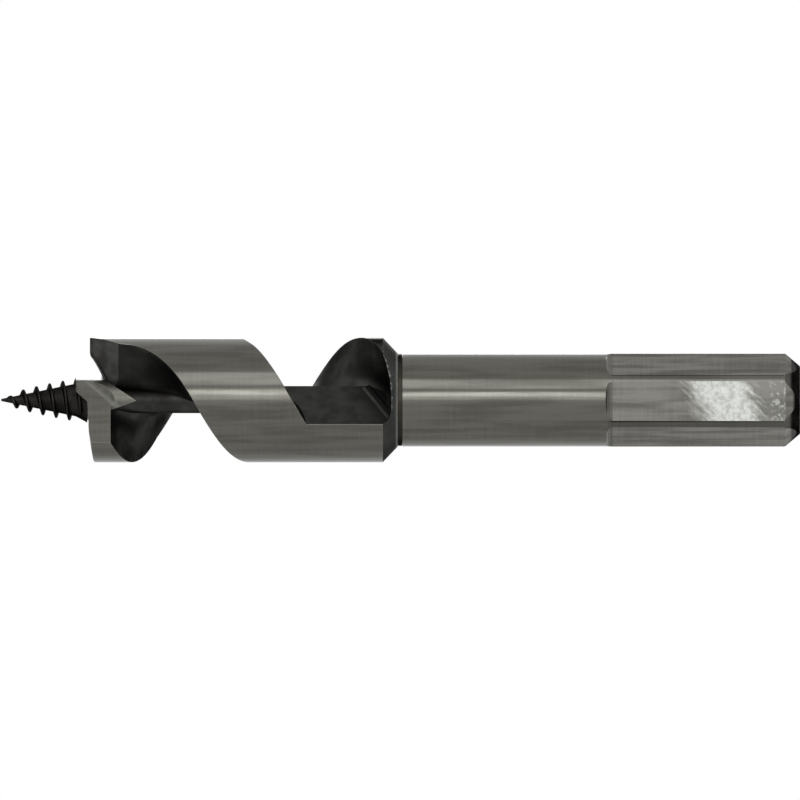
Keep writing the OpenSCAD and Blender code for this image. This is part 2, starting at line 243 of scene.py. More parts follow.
class AugerBitColours(bpy.types.PropertyGroup):
    ground: colour("Ground steel", "Ground land, lip and shank under a film of oil", "5e5d58")
    film: colour("Oil film", "Thicker oil on the ground steel", "504f4a")
    flat: colour("Flats", "Ground flats of the drive end", "6f6e69")
    # bare is also the tint of painted highlights: the streak on the hub and the patch on every
    # other flat
    bare: colour("Bare steel", "Worn edges, and painted highlights on the hub and on every other flat", "bdbfbb")
    # oxide also paints shade on the lower corners of the hexagon
    oxide: colour("Black oxide", "Flute and chamfers as the furnace left them", "3a3a39")
    # facet is the greyer tint painted on the facet behind the spur as painted light; it is also the
    # tint of rubbed edges and of the collar's chamfer
    facet: colour("Lighter oxide", "Milled facet behind the spur, and rubbed edges", "444443")
    scale: colour("Oxide scale", "Thicker scale in the oxide", "272624")
    # burnt also paints shade on the upper side of the throat and on the core there
    burnt: colour("Burnt scale", "Scale on the drive end and in the thread, and painted shade in the throat", "0d0c0a")
    weld: colour("Weld tint", "Heat-tinted steel of the dressed weld", "322f2a")
    stage: colour("Stage", "Floor of the stage", "f4f4f2")


class Stations:
    """Distances from the screw's tip, and the radii and turns that go with them."""

    def __init__(self, z):
        self.hub = z.screw_len
        self.lip = self.hub + z.hub_proud
        self.back = self.lip + z.body_len
        self.flute_end = self.back - z.collar
        self.shank = self.back + z.weld
        self.hexagon = z.overall - z.hex_len
        self.body_r = z.bore / 2
        self.core_r = z.core / 2
        self.hub_r = z.hub / 2
        self.shank_r = z.shank / 2
        self.flute_turn = 360 * (z.body_len - z.collar - z.runout_len - WALL_LAG) / z.pitch
        self.floor_r = self.core_r + FLOOR_LIFT
        self.floor_normal = self.flute_turn - math.degrees(math.acos(self.floor_r / self.body_r))
        self.foot_end = self.hub + z.foot_len
        self.rake_r = self.core_r + RAKE_LIFT
        self.rake_turn = math.degrees(math.asin(self.rake_r / self.body_r)) + RAKE_TRIM

    def joint_up(self, s):
        """Height of the slanted joint between the screw's foot and the hub's nose."""
        return FOOT_RISE - (FOOT_RISE + FOOT_DROP) * (s - self.hub) / (self.foot_end - self.hub)


def plan(context):
    """Sizes of the scene's bit, the stations that follow from them, and its colours."""
    z = context.scene.auger_bit_sizes
    return z, Stations(z), context.scene.auger_bit_colours


def clamp01(t):
    return max(0.0, min(1.0, t))


def smooth_min(u, v, span):
    return min(u, v) - max(span - abs(u - v), 0.0) ** 2 / (4 * span)


def place(z, s, r, turn):
    """Point at a station, a radius and a turn from the lip, on the bit as it lies."""
    a = math.radians(turn) + z.roll
    return Vector((s - z.overall, -r * math.cos(a), -r * math.sin(a)))


# Working in the scene


def make_active(piece):
    if bpy.context.mode != "OBJECT":
        bpy.ops.object.mode_set(mode="OBJECT")
    bpy.ops.object.select_all(action="DESELECT")
    if piece:
        piece.select_set(True)
    bpy.context.view_layer.objects.active = piece


def apply_place(piece):
    make_active(piece)
    bpy.ops.object.transform_apply(location=True, rotation=True, scale=True)
    return piece


def edit_all(piece):
    make_active(piece)
    bpy.ops.object.mode_set(mode="EDIT")
    bpy.ops.mesh.select_all(action="SELECT")


def face_outwards(piece):
    edit_all(piece)
    bpy.ops.mesh.normals_make_consistent(inside=False)
    bpy.ops.object.mode_set(mode="OBJECT")
    return piece


def pick(piece, kind, parts, wanted):
    """Selects the vertices, edges or polygons that are wanted, and stays in edit mode."""
    make_active(piece)
    bpy.ops.object.mode_set(mode="EDIT")
    bpy.ops.mesh.select_mode(type=kind)
    bpy.ops.mesh.select_all(action="DESELECT")
    bpy.ops.object.mode_set(mode="OBJECT")
    for part in getattr(piece.data, parts):
        part.select = wanted(part)
    bpy.ops.object.mode_set(mode="EDIT")


def pick_edges(piece, wanted):
    """Selects the edges with both ends at points that are wanted, and stays in edit mode."""

    def both_ends(edge):
        return all(wanted(piece.data.vertices[v].co) for v in edge.vertices)

    pick(piece, "EDGE", "edges", both_ends)


def bar(z, name, s0, s1, r0, r1, sides):
    """Round bar or cone between two stations."""
    make_active(None)
    bpy.ops.mesh.primitive_cone_add(
        vertices=sides, radius1=r0, radius2=r1, depth=s1 - s0,
        location=((s0 + s1) / 2 - z.overall, 0, 0), rotation=(0, math.pi / 2, 0))
    bpy.context.object.name = name
    return apply_place(bpy.context.object)


def block(name, low, high):
    """Box between two corners."""
    make_active(None)
    low, high = Vector(low), Vector(high)
    bpy.ops.mesh.primitive_cube_add(size=1, location=(low + high) / 2, scale=high - low)
    bpy.context.object.name = name
    return apply_place(bpy.context.object)


def prism(name, outline, along):
    """Solid over a flat outline of points in space, drawn out along a way."""
    make_active(None)
    bpy.ops.mesh.primitive_circle_add(vertices=len(outline), fill_type="NGON")
    made = bpy.context.object
    made.name = name
    for vertex, point in zip(made.data.vertices, outline):
        vertex.co = point
    edit_all(made)
    bpy.ops.mesh.extrude_region_move(TRANSFORM_OT_translate={"value": along})
    return face_outwards(made)


def across(z, name, outline):
    """Prism across the bit over an outline of stations and heights."""
    half = z.bore / 2
    return prism(name, [(s - z.overall, -half, up) for s, up in outline], (0, 2 * half, 0))


def wind(name, outline, turn, steps, rise=0):
    """Outline of points, by their place along X and radius, wound by a Screw modifier."""
    make_active(None)
    bpy.ops.mesh.primitive_circle_add(vertices=len(outline), fill_type="NOTHING")
    band = bpy.context.object
    band.name = name
    for vertex, (along, out) in zip(band.data.vertices, outline):
        vertex.co = (along, -out, 0)
    screw = band.modifiers.new("Wind", "SCREW")
    screw.axis = "X"
    screw.angle = math.radians(turn)
    screw.steps = screw.render_steps = steps
    screw.screw_offset = rise
    screw.use_merge_vertices = turn == 360
    screw.merge_threshold = SAME_CUT
    bpy.ops.object.modifier_apply(modifier=screw.name)
    edit_all(band)
    bpy.ops.mesh.fill_holes(sides=0)
    return face_outwards(band)


def combine(piece, tool, operation):
    """Joins, cuts or trims a piece with a tool, which is used up."""
    make_active(piece)
    step = piece.modifiers.new("Combine", "BOOLEAN")
    step.operation = operation
    step.object = tool
    step.solver = "EXACT"
    step.material_mode = "TRANSFER"
    bpy.ops.object.modifier_apply(modifier=step.name)
    bpy.data.objects.remove(tool)
    return piece


def paint(piece, *finishes):
    piece.data.materials.clear()
    for finish in finishes:
        piece.data.materials.append(finish)
    return piece


def hand_over(piece, node, smooth):
    """Tidies a finished piece and puts it in place of its CAD node."""
    edit_all(piece)
    bpy.ops.mesh.remove_doubles(threshold=SAME_POINT)
    bpy.ops.object.mode_set(mode="OBJECT")
    # Where a point only splits an edge, the faces beside it could both be cut along one chord
    edges = Counter(v for edge in piece.data.edges for v in edge.vertices)
    pick(piece, "VERT", "vertices", lambda vertex: edges[vertex.index] == 2)
    bpy.ops.mesh.dissolve_verts()
    bpy.ops.mesh.select_all(action="SELECT")
    bpy.ops.mesh.delete_loose()
    face_outwards(piece)
    bpy.ops.object.shade_smooth_by_angle(angle=math.radians(smooth))
    flat = piece.modifiers.new("Flat faces", "WEIGHTED_NORMAL")
    flat.keep_sharp = True
    bpy.ops.object.modifier_apply(modifier=flat.name)
    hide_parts(node)
    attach(piece, "root")


# Finishes, with stations along X from the drive end


def empty_tree(holder):
    holder.use_nodes = True
    holder.node_tree.nodes.clear()
    return holder.node_tree


def add(tree, kind, inputs=None, **settings):
    """Adds a node with its settings, input values and links; a node as input gives its output."""
    made = tree.nodes.new(kind)
    for name, value in settings.items():
        setattr(made, name, value)
    for key, value in (inputs or {}).items():
        if isinstance(value, bpy.types.Node):
            value = next(output for output in value.outputs if output.enabled)
        if isinstance(value, bpy.types.NodeSocket):
            tree.links.new(value, made.inputs[key])
        else:
            made.inputs[key].default_value = value
    return made


def lay_over(tree, under, over, share, *edges):
    """Lays a share of a tint over another where each value has gone from one bound to the next."""
    for value, low, high in edges:
        share = add(tree, "ShaderNodeMapRange", {
            "Value": value, "From Min": low, "From Max": high, "To Max": share},
            interpolation_type="SMOOTHSTEP")
    tints = [tint if isinstance(tint, bpy.types.Node) else (*tint, 1) for tint in (under, over)]
    return add(tree, "ShaderNodeMix", {0: share, 6: tints[0], 7: tints[1]}, data_type="RGBA")


def wear(tree, radius):
    """Edges that handling rubs: how far the surface turns within a radius, and their bounds."""
    rounded = add(tree, "ShaderNodeBevel", {"Radius": radius}, samples=6)
    plain = add(tree, "ShaderNodeNewGeometry").outputs["Normal"]
    turned = add(tree, "ShaderNodeVectorMath", {0: rounded, 1: plain}, operation="DOT_PRODUCT")
    return turned, 0.99, 0.9


class Finish:
    """Metal in the making: its tree, its Object coordinates, its tint, roughness and bumps."""

    def __init__(self, name, tint):
        self.material = bpy.data.materials.new(name)
        self.tree = empty_tree(self.material)
        self.where = add(self.tree, "ShaderNodeTexCoord").outputs["Object"]
        apart = add(self.tree, "ShaderNodeSeparateXYZ", {"Vector": self.where})
        self.x, self.y, self.z = apart.outputs
        self.tint = tint
        self.feel = {}

    def over(self, tint, share, *edges):
        self.tint = lay_over(self.tree, self.tint, tint, share, *edges)

    def metal(self, sheen=1.0):
        """The material, once all is laid over it; its sheen is how pale its edge looks."""
        metal = add(self.tree, "ShaderNodeBsdfPrincipled", {
            "Base Color": self.tint, "Metallic": 1.0,
            "Specular Tint": (sheen, sheen, sheen, 1), **self.feel})
        add(self.tree, "ShaderNodeOutputMaterial", {"Surface": metal})
        return self.material


def grind(name, c, clean, rough):
    """Ground steel: wheel marks, oil and worn edges."""
    f = Finish(name, clean)
    # Wheel marks run round the bit every 0.05 mm or so; they are drawn 0.3 mm apart to show
    marks = add(f.tree, "ShaderNodeMapping", {
        "Vector": f.where, "Scale": (0.3 * MM, 6 * MM, 6 * MM)}, vector_type="TEXTURE")
    lines = add(f.tree, "ShaderNodeTexNoise", {"Vector": marks, "Scale": 1.0, "Detail": 2.0})
    # Oil is drawn out along the bit in faint smears about 1.1 mm high and 12 mm long
    drag = add(f.tree, "ShaderNodeMapping", {
        "Vector": f.where, "Scale": (12 * MM, 1.1 * MM, 1.1 * MM)}, vector_type="TEXTURE")
    film = add(f.tree, "ShaderNodeTexNoise", {"Vector": drag, "Scale": 1.0, "Detail": 3.0})
    both = add(f.tree, "ShaderNodeMath", {0: lines, 1: 0.2, 2: film}, operation="MULTIPLY_ADD")
    f.over(c.film, 1.0, (both, 0.45, 0.8))
    f.over(c.bare, 0.3, wear(f.tree, 0.1 * MM))
    f.feel["Roughness"] = add(f.tree, "ShaderNodeMapRange", {
        "Value": film, "From Min": 0.3, "From Max": 0.7,
        "To Min": 0.8 * rough, "To Max": 1.2 * rough})
    f.feel["Normal"] = add(f.tree, "ShaderNodeBump", {
        "Height": lines, "Strength": 1.0, "Distance": 0.002 * MM})
    return f


def ground_shank(c):
    """Round shank: fine wheel marks round it give crisp bright lines along it."""
    f = grind("Carbon steel, cylindrically ground and oiled", c, c.ground, 0.15)
    # Painted shade: the lower corners of the hexagon are darkened halfway to the oxide tint
    f.over(c.oxide, 0.5, (f.x, -26.6 * MM, -25.6 * MM), (f.z, -2.2 * MM, -2.8 * MM))
    return f.metal()


def ground_land(c):
    """Land: as the shank, with oxide left on the collar."""
    f = grind("Carbon steel, cylindrically ground land", c, c.ground, 0.16)
    # The wheel missed the top of the collar where the flute ends, and left ragged oxide there
    patch = add(f.tree, "ShaderNodeTexNoise", {
        "Vector": f.where, "Scale": 1 / (1.4 * MM), "Detail": 4.0})
    ragged = add(f.tree, "ShaderNodeMath", {0: patch, 1: 3 * MM, 2: f.y}, operation="MULTIPLY_ADD")
    missed = ((f.x, -66 * MM, -63.5 * MM), (f.z, 3 * MM, 6 * MM), (ragged, 4.5 * MM, 2.5 * MM))
    f.feel["Specular Tint"] = lay_over(f.tree, (1, 1, 1), [BLACK_SHEEN] * 3, 1.0, *missed)
    f.over(c.oxide, 1.0, *missed)
    return f.metal()


def ground_head(c):
    """Lip and hub: belt-ground, so softer than the land, with a painted highlight in a streak
    across the hub.
    """
    f = grind("Carbon steel, belt-ground lip and hub", c, c.ground, 0.42)
    # Painted highlight: a pale streak of the bare steel tint across the hub, along a line that
    # falls from nose to tongue
    fall = add(f.tree, "ShaderNodeVectorMath", {
        0: f.where, 1: (0.658, 0, 0.754)}, operation="DOT_PRODUCT")
    f.over(c.bare, 0.12, (fall, -62.55 * MM, -62.1 * MM), (fall, -61.45 * MM, -61.9 * MM),
           (f.x, -92.2 * MM, -93.2 * MM), (f.y, 0.0, -1 * MM), (f.z, -1.6 * MM, -0.6 * MM))
    return f.metal()


def ground_flat(c):
    """Flats of the drive end: a coarser wheel leaves them paler than the round."""
    f = grind("Carbon steel, surface-ground flat", c, c.flat, 0.24)
    # Burnt scale creeps from the chamfer onto the end of the flat
    f.over(c.burnt, 1.0, (f.x, -1.45 * MM, -1.05 * MM))
    return f.metal()


def flat_with_painted_highlight(c):
    """Every other flat: as the others, with a painted highlight in a mottled patch."""
    f = grind("Carbon steel, ground flat burnished by chuck jaws", c, c.flat, 0.24)
    # Smears 2 mm long and 0.4 mm wide, slanting down across the flat, fray the painted highlight's
    # ends
    smear_slant = add(f.tree, "ShaderNodeMapping", {
        "Vector": f.where, "Rotation": (0, math.radians(40), 0),
        "Scale": (2 * MM, 1 * MM, 0.4 * MM)}, vector_type="TEXTURE")
    smears = add(f.tree, "ShaderNodeTexNoise", {"Vector": smear_slant, "Scale": 1.0, "Detail": 3.0})
    fray = add(f.tree, "ShaderNodeMath", {0: smears, 1: 5 * MM, 2: f.x}, operation="MULTIPLY_ADD")
    first, last = (add(f.tree, "ShaderNodeMath", {0: f.z, 1: slant, 2: fray},
                       operation="MULTIPLY_ADD") for slant in (0.45, 0.25))
    # The painted highlight is mottled every 0.5 mm or so
    spots = add(f.tree, "ShaderNodeTexNoise", {
        "Vector": f.where, "Scale": 1 / (0.5 * MM), "Detail": 3.0})
    mottle = add(f.tree, "ShaderNodeMapRange", {
        "Value": spots, "From Min": 0.35, "From Max": 0.6, "To Min": 0.52, "To Max": 0.86})
    f.over(c.bare, mottle, (first, -13.6 * MM, -9.2 * MM), (last, -2.4 * MM, -5.6 * MM))
    # Past the patch the painted highlight goes on faintly, and then in bright flecks near the end
    f.over(c.bare, 0.04, (f.x, -7.5 * MM, -6 * MM))
    f.over(c.bare, 0.5, (f.x, -5 * MM, -2.6 * MM), (f.x, -1.9 * MM, -2.2 * MM), (spots, 0.52, 0.7))
    # Burnt scale creeps from the chamfer onto the very end
    f.over(c.burnt, 1.0, (f.x, -1.1 * MM, -0.7 * MM))
    return f.metal()


def oxide(name, dark, scaled, rubbed, rough):
    """Black oxide: patches of scale, grit and rubbed edges."""
    f = Finish(name, dark)
    # Scale lies in soft patches about 2 mm across
    patch = add(f.tree, "ShaderNodeTexNoise", {
        "Vector": f.where, "Scale": 1 / (2.2 * MM), "Detail": 4.0})
    f.over(scaled, 0.7, (patch, 0.35, 0.7))
    f.over(rubbed, 0.6, wear(f.tree, 0.1 * MM))
    grit = add(f.tree, "ShaderNodeTexNoise", {
        "Vector": f.where, "Scale": 1 / (0.11 * MM), "Detail": 2.0})
    f.feel["Roughness"] = add(f.tree, "ShaderNodeMapRange", {
        "Value": patch, "From Min": 0.3, "From Max": 0.7,
        "To Min": 0.85 * rough, "To Max": 1.15 * rough})
    f.feel["Normal"] = add(f.tree, "ShaderNodeBump", {
        "Height": grit, "Strength": 1.0, "Distance": 0.003 * MM})
    return f


def black_oxide(c):
    """Flute: milled steel left black and half matt by heat treatment, with painted shade in the
    throat.
    """
    f = oxide("Carbon steel, milled and oxide-black", c.oxide, c.scale, c.facet, 0.4)
    # Painted shade: the upper side of the throat is darkened with the burnt tint, and most along
    # its root and over the core
    f.over(c.burnt, 0.5, (f.x, -86.5 * MM, -90.5 * MM), (f.z, 0.2 * MM, 0.8 * MM))
    f.over(c.burnt, 0.65, (f.x, -84.5 * MM, -87 * MM),
           (f.z, -1.5 * MM, 0.8 * MM), (f.z, 2.4 * MM, 1.6 * MM))
    return f.metal(BLACK_SHEEN)


def facet_painted_lighter(c):
    """Facet behind the spur: black oxide in a greyer tint than the flute's, as painted light on
    this face.
    """
    f = oxide("Carbon steel, face-milled and lightly oxidised", c.facet, c.scale, c.facet, 0.4)
    return f.metal(BLACK_SHEEN)


def black_thread(c):
    """Screw: thick oxide, almost matt, rubbed a little on the thread's crests."""
    f = oxide("Carbon steel, cut thread under thick oxide", c.scale, c.burnt, c.oxide, 0.45)
    return f.metal(BLACK_SHEEN)


def burnt_end(c):
    """Chamfer of the drive end: ground at its start, then burnt scale almost without gloss."""
    f = oxide("Carbon steel, turned chamfer under burnt scale", c.burnt, c.scale, c.burnt, 0.5)
    # Scale starts about 0.7 mm down the chamfer, in a soft line
    f.over(c.ground, 0.75, (f.x, -1.05 * MM, -1.6 * MM))
    return f.metal(BLACK_SHEEN)


def collar_back(c):
    """Chamfer behind the collar: black, with a bright burr by the flute and a ring by the weld."""
    f = oxide("Carbon steel, oxide-black with a turned ring", c.facet, c.oxide, c.ground, 0.5)
    # The burr is up to 0.5 mm wide and comes and goes every 0.6 mm or so
    burr = add(f.tree, "ShaderNodeTexNoise", {
        "Vector": f.where, "Scale": 1 / (0.6 * MM), "Detail": 3.0})
    f.over(c.bare, 0.5, wear(f.tree, 0.5 * MM), (burr, 0.45, 0.65), (f.z, -2 * MM, 0.0))
    f.over(c.bare, 0.25, (f.x, -55.25 * MM, -55.1 * MM))
    return f.metal(BLACK_SHEEN)


def dressed_weld(c):
    """Weld seam: filed down, then tinted brown-black by its own heat in spots about 2 mm wide."""
    f = oxide("Weld steel, dressed and heat-tinted", c.weld, c.scale, c.weld, 0.36)
    return f.metal(BLACK_SHEEN)


# Pieces


class AUGERBIT_OT_lead_screw(bpy.types.Operator):
    """Models the tapered lead screw with its thread, half-round foot and stem"""

    bl_idname = "auger_bit.lead_screw"
    bl_label = "Lead screw"

    def execute(self, context):
        z, at, colours = plan(context)
        black = black_thread(colours)

        def root_r(s):
            return (z.screw_tip + (z.screw_root - z.screw_tip) * min(s, at.hub) / at.hub) / 2

        def crest_r(s):
            return z.screw_crest / 2 * (s / at.hub) ** THREAD_SWELL

        first = THREAD_MEETS + 360 * (THREAD_START - at.hub) / z.screw_pitch
        turn = THREAD_ENDS - first
        steps = round(turn / THREAD_STEP)
        thread = wind("Thread", THREAD_SECTION, turn, steps, rise=1)
        for vertex in thread.data.vertices:
            step, i = divmod(vertex.index, len(THREAD_SECTION))
            a = first + turn * step / steps
            s = at.hub + z.screw_pitch * (a - THREAD_MEETS) / 360
            grown = min(1, (a - first) / THREAD_GROWTH, (THREAD_ENDS - a) / THREAD_FADE)
            foot = root_r(s) * THREAD_ROOTING
            crest = root_r(s) + max(THREAD_LEAST, (crest_r(s) - root_r(s)) * grown)
            share, shift = THREAD_SECTION[i]
            vertex.co = place(z, s + shift * z.thread_width, foot + share * (crest - foot), a)
        paint(thread, black)

        screw = bar(z, "lead_screw_piece", 0, at.hub, z.screw_tip / 2, z.screw_root / 2, CORE_SIDES)
        combine(paint(screw, black), thread, "UNION")
        far, wide = at.foot_end + z.foot_len, at.body_r
        nose = [(at.hub, FOOT_RISE), (at.foot_end, -FOOT_DROP), (far, -FOOT_DROP),
                (far, wide), (at.hub, wide)]
        combine(screw, across(z, "Nose", nose), "DIFFERENCE")
        foot = bar(z, "Foot", at.hub - UNDER, at.foot_end, z.screw_root / 2, z.foot / 2, CORE_SIDES)
        edit_all(foot)
        bpy.ops.mesh.bisect(
            plane_co=(at.hub - z.overall, 0, FOOT_RISE),
            plane_no=(FOOT_RISE + FOOT_DROP, 0, z.foot_len),
            use_fill=True, clear_outer=True, threshold=SAME_CUT)
        bpy.ops.object.mode_set(mode="OBJECT")
        combine(screw, paint(foot, black), "UNION")
        stem_r, stem_end = z.stem / 2, at.foot_end + z.stem_len
        stem = bar(z, "Stem", at.hub - OVER, stem_end, stem_r, stem_r, STEM_SIDES)
        combine(screw, paint(stem, black), "UNION")
        hand_over(screw, "lead_screw", smooth=35)
        return {"FINISHED"}


class AUGERBIT_OT_auger_body(bpy.types.Operator):
    """Models the flight with its lip, spur and throat, the core, the hub and the collar"""

    bl_idname = "auger_bit.auger_body"
    bl_label = "Auger body"

    def execute(self, context):
        z, at, colours = plan(context)
        ground, head, black = ground_land(colours), ground_head(colours), black_oxide(colours)

        body = self.flight(z, at, ground, head, black, facet_painted_lighter(colours))
        core_end = at.flute_end + z.collar * CORE_LAP
        core = bar(z, "Core", at.lip, core_end, at.core_r, at.core_r, CORE_SIDES)
        combine(body, paint(core, black), "UNION")
        combine(body, self.hub(z, at, head), "UNION")
        combine(body, self.rake_room(z, at, head), "DIFFERENCE")
        ahead = at.hub - OVER
        step = [(ahead, at.joint_up(ahead)), (at.foot_end, -FOOT_DROP),
                (at.foot_end, -at.body_r), (ahead, -at.body_r)]
        combine(body, paint(across(z, "Step", step), head), "DIFFERENCE")
        hole_r = z.stem / 2 + BRAZE_GAP
        hole = bar(z, "Hole", ahead, at.foot_end + z.stem_len, hole_r, hole_r, STEM_SIDES)
        combine(body, paint(hole, black), "DIFFERENCE")
        combine(body, self.runout_floor(z, at, ground, black), "UNION")
        disc_r, disc_start = at.body_r - UNDER, at.flute_end + z.collar * DISC_LAP
        disc = bar(z, "Collar", disc_start, at.back, disc_r, disc_r, SHANK_SIDES)
        combine(body, paint(disc, ground), "UNION")
        past = OVER * (at.body_r - at.shank_r) / z.collar_chamfer
        start, end = at.back - z.collar_chamfer - OVER - z.overall, at.back + OVER - z.overall
        outline = [(start, at.body_r + past), (end, at.shank_r - past), (end, at.body_r + past)]
        chamfer = wind("Chamfer", outline, 360, SHANK_SIDES)
        combine(body, paint(chamfer, collar_back(colours)), "DIFFERENCE")
        body.name = "auger_body_piece"
        hand_over(body, "auger_body", smooth=20)
        return {"FINISHED"}

    def flight(self, z, at, ground, head, black, facet):
        """The flight's band, wound up and then set to its walls, its land and its worn edges."""

        def advance(a):
            return z.pitch * a / 360

        def front_helix(a):
            return at.lip + WALL_LAG - z.land + advance(a)

        def back_helix(a):
            thicker = (z.lip_thick - WALL_LAG) * max(0, 1 - a / LIP_BLEND)
            return at.lip + WALL_LAG + advance(a) + thicker

        def flare(a, r):
            """How far a wall leans out at its root, on the core or on the run-out's floor."""
            on_core = a < at.floor_normal + 360
            h = (r if on_core else r * math.cos(math.radians(a - at.floor_normal))) - at.core_r
            return z.root_fillet / 2 * clamp01(1 - h / z.root_fillet) ** 2 + max(0, -h)

        facet_s = at.lip + THROAT_DROP + THROAT_FACET_RATE * (THROAT_FACET_END - SPUR_END)

        def throat(a):
            if a < THROAT_FACET_END:
                return facet_s - THROAT_FACET_RATE * (THROAT_FACET_END - a)
            if a < THROAT_END:
                share = (a - THROAT_FACET_END) / (THROAT_END - THROAT_FACET_END)
                return facet_s + (front_helix(THROAT_END) - facet_s) * share ** THROAT_SCOOP
            return smooth_min(front_helix(a), at.flute_end, END_ROUND)

        def end_face(a, r):
            """The face behind the lip, swept back at its corner and raised to the spur."""
            clear = math.tan(z.relief) * at.body_r * math.radians(a)
            swept = z.corner_sweep * clamp01((r / at.body_r - SWEEP_START) / (1 - SWEEP_START)) ** 2
            rise = clamp01((a - SPUR_START + SPUR_RAMP) / SPUR_RAMP)
            inner = clamp01((at.body_r - z.spur_width - r) / (at.body_r - z.spur_width - at.hub_r))
            spur = rise * (1 - inner ** SPUR_HOLLOW)
            return (at.lip + clear + swept) * (1 - spur) + (at.lip + z.spur_set) * spur

        def front(a, r):
            return -smooth_min(-end_face(a, r), flare(a, r) - throat(a), THROAT_ROUND)

        def back(a, r):
            run = clamp01((a - at.flute_turn) / STEP_TURN)
            in_collar = at.flute_end + z.collar * FLIGHT_LAP
            return (back_helix(a) + flare(a, r)) * (1 - run) + in_collar * run

        foot_r = at.core_r - ROOT_SUNK
        count = 2 * WALL_POINTS + 2 + LAND_POINTS
        turn = at.flute_turn + 360
        steps = round(turn / ROW_TURN)
        # Any outline will do, as every point is set afterwards
        outline = [(i * MM, 1 * MM) for i in range(count)]
        band = wind("auger_body_piece", outline, turn, steps + ROWS_AHEAD, rise=1)
        for vertex in band.data.vertices:
            step, i = divmod(vertex.index, count)
            # The lip is drawn from ahead of its corner, and is ground back to the rake face later
            if step > ROWS_AHEAD:
                drawn = turn * (step - ROWS_AHEAD) / steps
            else:
                drawn = RAKE_LEAD * (step / ROWS_AHEAD - 1)
            a = max(drawn, 0)
            grown = EDGE_AT_LIP + (1 - EDGE_AT_LIP) * clamp01(a / EDGE_GROWTH)
            edge = z.land_edge * grown
            near, far = front(a, at.body_r), back(a, at.body_r)
            mirrored = min(i, count - 1 - i)
            if mirrored < WALL_POINTS:
                share = (mirrored / (WALL_POINTS - 1)) ** ROOT_CROWD
                r = foot_r + (at.body_r - edge - foot_r) * share
                s = front(a, r) if i < WALL_POINTS else back(a, r)
            elif mirrored == WALL_POINTS:
                r = at.body_r - EDGE_MIDDLE * edge
                s = near + EDGE_MIDDLE * edge if i == WALL_POINTS else far - EDGE_MIDDLE * edge
            else:
                r = at.body_r
                share = (i - WALL_POINTS - 1) / (LAND_POINTS - 1)
                s = (near + edge) * (1 - share) + (far - edge) * share
            vertex.co = place(z, s, r, drawn)
        paint(band, ground, head, black, facet)
        for face in band.data.polygons:
            if len(face.vertices) > 4:
                continue
            points = [v % count for v in face.vertices]
            turned = turn * (min(face.vertices) // count - ROWS_AHEAD) / steps
            in_front = max(points) < WALL_POINTS
            if min(points) >= WALL_POINTS and max(points) < count - WALL_POINTS:
                face.material_index = LAND
            elif in_front and turned < SPUR_START - SPUR_RAMP:
                face.material_index = HEAD
            else:
                # Front faces up to the facet's end get its greyer tint, painted light on that face
                face.material_index = PAINTED_LIT_FACET if in_front and turned < THROAT_FACET_END else FLUTE
        return band

    def hub(self, z, at, head):
        """Round hub, cut to a pointed tongue where the throat is ground into it."""
        hub_end = at.lip + z.body_len / 2
        hub = paint(bar(z, "Hub", at.hub, hub_end, at.hub_r, at.hub_r, CORE_SIDES), head)
        tongue = [(0, at.body_r), (TONGUE_TOP, at.hub_r), TONGUE_POINT, TONGUE_HEEL,
                  (TONGUE_HEEL[0], -at.body_r), (0, -at.body_r)]
        outline = [(at.hub + s, up) for s, up in tongue]
        return combine(hub, paint(across(z, "Tongue", outline), head), "INTERSECT")

    def rake_room(self, z, at, head):
        """Room that the wheel clears in front of the rake face, up to the ramp on the hub."""
        outward, past = (place(z, z.overall, 1, at.rake_turn + turn) for turn in (0, 90))
        lengthwise = Vector((1, 0, 0))
        start = (lengthwise * (at.lip + RAMP_BEHIND - z.overall) - outward * RAMP_OUT
                 - past * at.rake_r)
        side = outward * math.cos(RAMP_SLANT) - lengthwise * math.sin(RAMP_SLANT)
        along = outward * math.sin(RAMP_SLANT) + lengthwise * math.cos(RAMP_SLANT)
        # Large enough to clear the whole lip
        far = at.body_r
        corners = ((0, 0), (-RAMP_HIGH, RAMP_HIGH), (-RAMP_HIGH, far), (2 * far, far), (2 * far, 0))
        outline = [start + side * x - past * up - along * 1.5 * far for x, up in corners]
        return paint(prism("Rake room", outline, along * 3 * far), head)

    def runout_floor(self, z, at, ground, black):
        """Flat floor on which the flute runs out, with a worn edge where it meets the land."""
        reach = math.sqrt(at.body_r ** 2 - at.floor_r ** 2) + OVER
        start = at.lip + WALL_LAG + z.pitch * at.floor_normal / 360
        end = at.flute_end + z.collar * FLOOR_LAP
        floor = block("Floor", (start - z.overall, -OVER, 0), (end - z.overall, reach, at.floor_r))
        # Local Z becomes the floor's normal and local Y the way along the floor to the land's edge
        a = math.radians(at.floor_normal) + z.roll
        out = Vector((0, -math.cos(a), -math.sin(a)))
        along = Vector((0, math.sin(a), -math.cos(a)))
        for vertex in floor.data.vertices:
            x, y, h = vertex.co
            vertex.co = Vector((x, 0, 0)) + out * h + along * y
        paint(face_outwards(floor), black)
        trim_r = at.body_r - UNDER
        trim = bar(z, "Trim", start - OVER, at.back + OVER, trim_r, trim_r, TRIM_SIDES)
        combine(floor, paint(trim, ground), "INTERSECT")

        def at_land(p):
            on_floor = abs(p.dot(out) - at.floor_r) < SAME_POINT
            return on_floor and p.dot(along) > FLOOR_EDGE * reach

        pick_edges(floor, at_land)
        bpy.ops.mesh.bevel(offset=z.land_edge, segments=EDGE_STEPS, affect="EDGES")
        bpy.ops.object.mode_set(mode="OBJECT")
        first, last = (Vector((at.flute_end - s - z.overall, 0, 0)) + along * y
                       for s, y in (RIDGE_FROM, RIDGE_TO))
        aside = (last - first).normalized().cross(out) * RIDGE_WIDE / 2
        outline = [first + aside * side + out * (at.floor_r + RIDGE_HIGH * up)
                   for side, up in RIDGE_SECTION]
        return combine(floor, paint(prism("Ridge", outline, last - first), black), "UNION")


